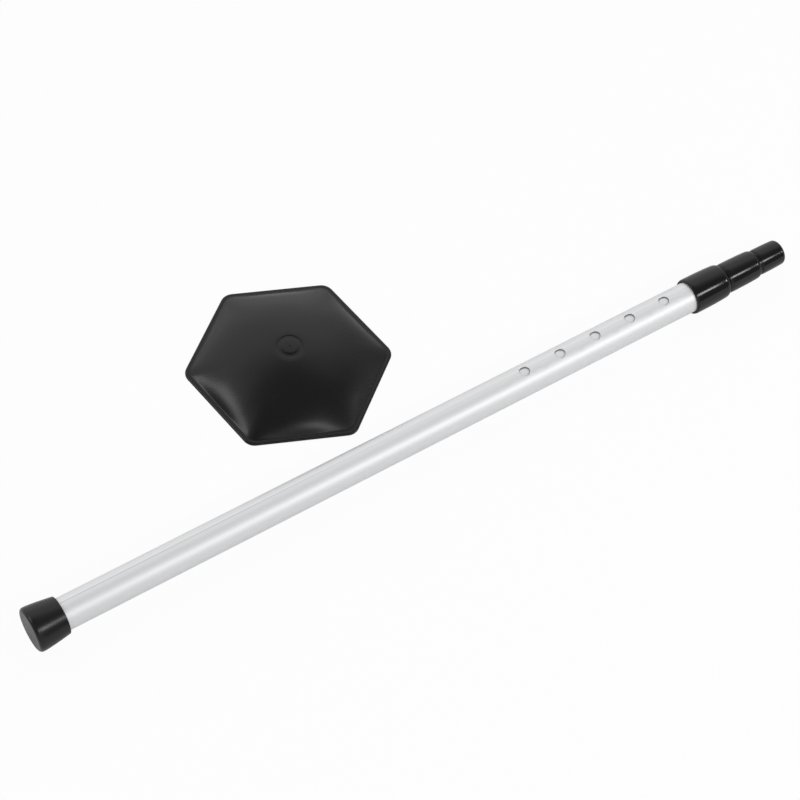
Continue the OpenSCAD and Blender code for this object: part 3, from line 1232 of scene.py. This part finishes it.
@dataclass(frozen=True)
class Softbox:
    """A rectangular lamp, level along its width, that faces a point."""

    lamp: Lamp
    place: Spot
    aim: Spot
    size: Tuple[float, float]
    power: float

    def build(self) -> None:
        """Hangs the lamp."""
        data = bpy.data.lights.new(self.lamp.value, "AREA")
        data.shape = "RECTANGLE"
        data.size, data.size_y = self.size
        data.energy = self.power
        thing = bpy.data.objects.new(self.lamp.value, data)
        bpy.context.scene.collection.objects.link(thing)
        back = (Vector(self.place) - Vector(self.aim)).normalized()
        right = Vector((-back.y, back.x, 0.0)).normalized()
        thing.matrix_world = Matrix.Translation(self.place) \
            @ Matrix((right, back.cross(right), back)).transposed().to_4x4()


@dataclass(frozen=True)
class StripRow:
    """A row of strip lamps level with the pole, at one distance in front of it.

    Each span is where a strip starts and ends along X, and its gain.
    """

    distance: float = 2.6
    elevation: float = 44.5
    height: float = 0.50
    watts_per_metre: float = 16.5
    spans: Tuple[Tuple[float, float, float], ...] = (
        (-0.45, 0.50, 0.44), (0.50, 0.74, 1.35), (1.10, 1.97, 1.0), (2.36, 2.75, 2.4))

    def lamps(self, axis: Vector) -> List[Softbox]:
        """Places the strips.

        Args:
            axis: A point on the pole's axis.

        Returns:
            The strips, from left to right.
        """
        rise = math.radians(self.elevation)
        y = axis.y - self.distance * math.cos(rise)
        z = axis.z + self.distance * math.sin(rise)
        return [Softbox(lamp, ((a + b) / 2, y, z), ((a + b) / 2, axis.y, axis.z),
                        (b - a, self.height), self.watts_per_metre * (b - a) * gain)
                for lamp, (a, b, gain) in zip(Lamp, self.spans)]


@dataclass(frozen=True)
class Camera:
    """The camera, above and in front of the object."""

    place: Spot = (-0.69820, -0.92619, 1.67052)
    azimuth: float = 38.731
    elevation: float = 56.171
    roll: float = 7.127
    lens: float = 102.76
    sensor: float = 36.0

    def build(self) -> None:
        """Sets up the scene's camera."""
        az, el, roll = (math.radians(v) for v in (self.azimuth, self.elevation, self.roll))
        ahead = Vector((math.sin(az) * math.cos(el), math.cos(az) * math.cos(el), -math.sin(el)))
        right = Vector((math.cos(az), -math.sin(az), 0.0))
        up = right.cross(ahead)
        turned = math.cos(roll) * right + math.sin(roll) * up
        up = -math.sin(roll) * right + math.cos(roll) * up
        data = bpy.data.cameras.new("camera")
        data.lens, data.sensor_width = self.lens, self.sensor
        data.clip_start, data.clip_end = 0.05, 50.0
        thing = bpy.data.objects.new("camera", data)
        bpy.context.scene.collection.objects.link(thing)
        thing.matrix_world = Matrix.Translation(self.place) \
            @ Matrix((turned, up, -ahead)).transposed().to_4x4()
        bpy.context.scene.camera = thing


@dataclass(frozen=True)
class Room:
    """How bright the room is on each side, where 1 is white."""

    ceiling: float = 0.27
    front: float = 0.66
    front_dim: float = 0.23
    back: float = 1.0
    left: float = 0.34
    right: float = 0.55


@dataclass(frozen=True)
class Studio:
    """A pale floor, a room and the lamps."""

    axis: Vector
    strips: StripRow = StripRow()
    side: Softbox = Softbox(Lamp.SIDE, (-1.70, 0.79, 1.35), (-0.13, 0.02, 0.02), (0.8, 0.6), 5.5)
    room: Room = Room()
    floor_colour: Colour = (0.82, 0.82, 0.82)
    floor_size: float = 8.0

    def floor(self) -> None:
        """Lays the floor, which shows white and keeps the object's shadow."""
        half = self.floor_size / 2
        mesh = bpy.data.meshes.new("floor")
        mesh.from_pydata([(-half, -half, 0), (half, -half, 0), (half, half, 0), (-half, half, 0)],
                         [], [(0, 1, 2, 3)])
        thing = link("floor", mesh)
        thing.location.z = -0.0002
        material = bpy.data.materials.new("pale_floor")
        material.use_nodes = True
        graph = Graph(material.node_tree)
        matt = graph.add("ShaderNodeBsdfDiffuse", None, {"Color": (*self.floor_colour, 1.0)})
        glow = graph.add("ShaderNodeEmission", None, {"Color": (1, 1, 1, 1), "Strength": 1.0})
        seen = self.seen(graph)
        both = graph.add("ShaderNodeMixShader", None, {0: seen, 1: matt, 2: glow})
        graph.add("ShaderNodeOutputMaterial", None, {"Surface": both})
        mesh.materials.append(material)

    @staticmethod
    def seen(graph: Graph) -> Wire:
        """Works out how white the floor shows: most to the camera, less in gloss.

        Args:
            graph: The floor's material.

        Returns:
            A share from 0 to 1.
        """
        rays = graph.add("ShaderNodeLightPath", output="Is Camera Ray")
        outputs = rays.socket.node.outputs
        glossy = Wire(graph, outputs["Is Glossy Ray"])
        through = Wire(graph, outputs["Is Transmission Ray"])
        return (rays * 0.95).fn("MAXIMUM", glossy * 0.1).fn("MAXIMUM", through * 0.95)

    def surround(self) -> None:
        """Makes the world a pale room, brighter behind the object and darker overhead."""
        world = bpy.data.worlds.new("pale_room")
        world.use_nodes = True
        bpy.context.scene.world = world
        graph = Graph(world.node_tree)
        way = graph.add("ShaderNodeTexCoord", output="Generated")
        across, depth, height = (graph.add("ShaderNodeSeparateXYZ", None, {0: way}, axis)
                                 for axis in "XYZ")
        ceiling, front, dim, back, left, right = ((v, v, v) for v in astuple(self.room))
        ahead = graph.mix(across.step(0.12, 0.42).fn("MAXIMUM", height.step(0.56, 0.80)), front, dim)
        room = graph.mix(depth.step(-0.25, 0.45), ahead, back)
        room = graph.mix(across.step(-0.45, -0.90), room, left)
        room = graph.mix(across.step(0.60, 0.95), room, right)
        room = graph.mix(height.step(0.80, 1.00), room, ceiling)
        camera = graph.add("ShaderNodeLightPath", output="Is Camera Ray")
        shown = graph.mix(camera, room, (1.0, 1.0, 1.0))
        light = graph.add("ShaderNodeBackground", None, {"Color": shown, "Strength": 1.0})
        graph.add("ShaderNodeOutputWorld", None, {"Surface": light})

    def build(self) -> None:
        """Sets up the whole studio."""
        self.floor()
        self.surround()
        for lamp in (*self.strips.lamps(self.axis), self.side):
            lamp.build()
        Camera().build()
        bpy.context.scene.view_settings.view_transform = "Standard"


def finishes(pole: PoleFrame) -> Dict[str, bpy.types.Material]:
    """Makes every finish of the object.

    Args:
        pole: Where the pole lies, which the tubes' lines follow.

    Returns:
        The materials by the pieces' names for them.
    """
    axis = (pole.origin.y, pole.origin.z)
    made = {
        "collar": MouldedPlastic("gloss_black_moulding", "collar_plastic", (0.004, 0.004, 0.004),
                                 0.13, specular=0.40, grain=260.0, depth=0.0000008),
        "foot": Finish("black_rubber", "foot_rubber", (0.006, 0.006, 0.006), 0.26, specular=0.38,
                       grain=700.0, depth=0.000003),
        "pad": MouldedPlastic("satin_black_moulding", "pad_plastic", (0.004, 0.004, 0.004), 0.26,
                              specular=0.38, grain=1400.0, depth=0.000008),
        "spring": Finish("spring_steel", "spring_steel", (0.56, 0.56, 0.57), 0.30, 1.0),
        "button": Finish("polished_steel", "button_steel", (0.72, 0.72, 0.73), 0.12, 1.0),
        "washer": Finish("zinc_plate", "washer_steel", (0.62, 0.63, 0.63), 0.38, 1.0),
    }
    for section in (OUTER, MIDDLE, INNER):
        made[section.name] = DrawnAluminium(
            f"{section.name}_drawn_aluminium", "tube_aluminium", (0.865, 0.87, 0.88), 0.56, 0.6,
            grain=1500.0, depth=0.00001, axis=axis, radius=section.radius * MM)
    return {key: finish.build() for key, finish in made.items()}


def main() -> None:
    """Builds the sub-assemblies, then the studio."""
    logging.basicConfig(level=logging.INFO, format="%(message)s")
    pole = PoleFrame()
    kit = Kit(pole, finishes(pole))
    Tube(kit, OUTER, inset=66.4).build()
    Foot(kit).build()
    Collar(kit, OUTER, MIDDLE, 2.65, Crowning(3.0, 1.0, 0.8, 4.4, 1.5), nose=1.3, ring=14.0,
           flare=0.7).build()
    Tube(kit, MIDDLE, inset=85.45, button=LATCH).build()
    Collar(kit, MIDDLE, INNER, 1.5, Crowning(4.2, 0.95, 0.55, 3.7, 1.0), nose=2.4,
           ring=11.95).build()
    SnapLock(kit, MIDDLE).build()
    Tube(kit, INNER, count=0, button=LATCH).build()
    TipCap(kit).build()
    SnapLock(kit, INNER).build()
    Pad(kit).build()
    Studio(pole.origin).build()


if __name__ == "__main__":
    main()
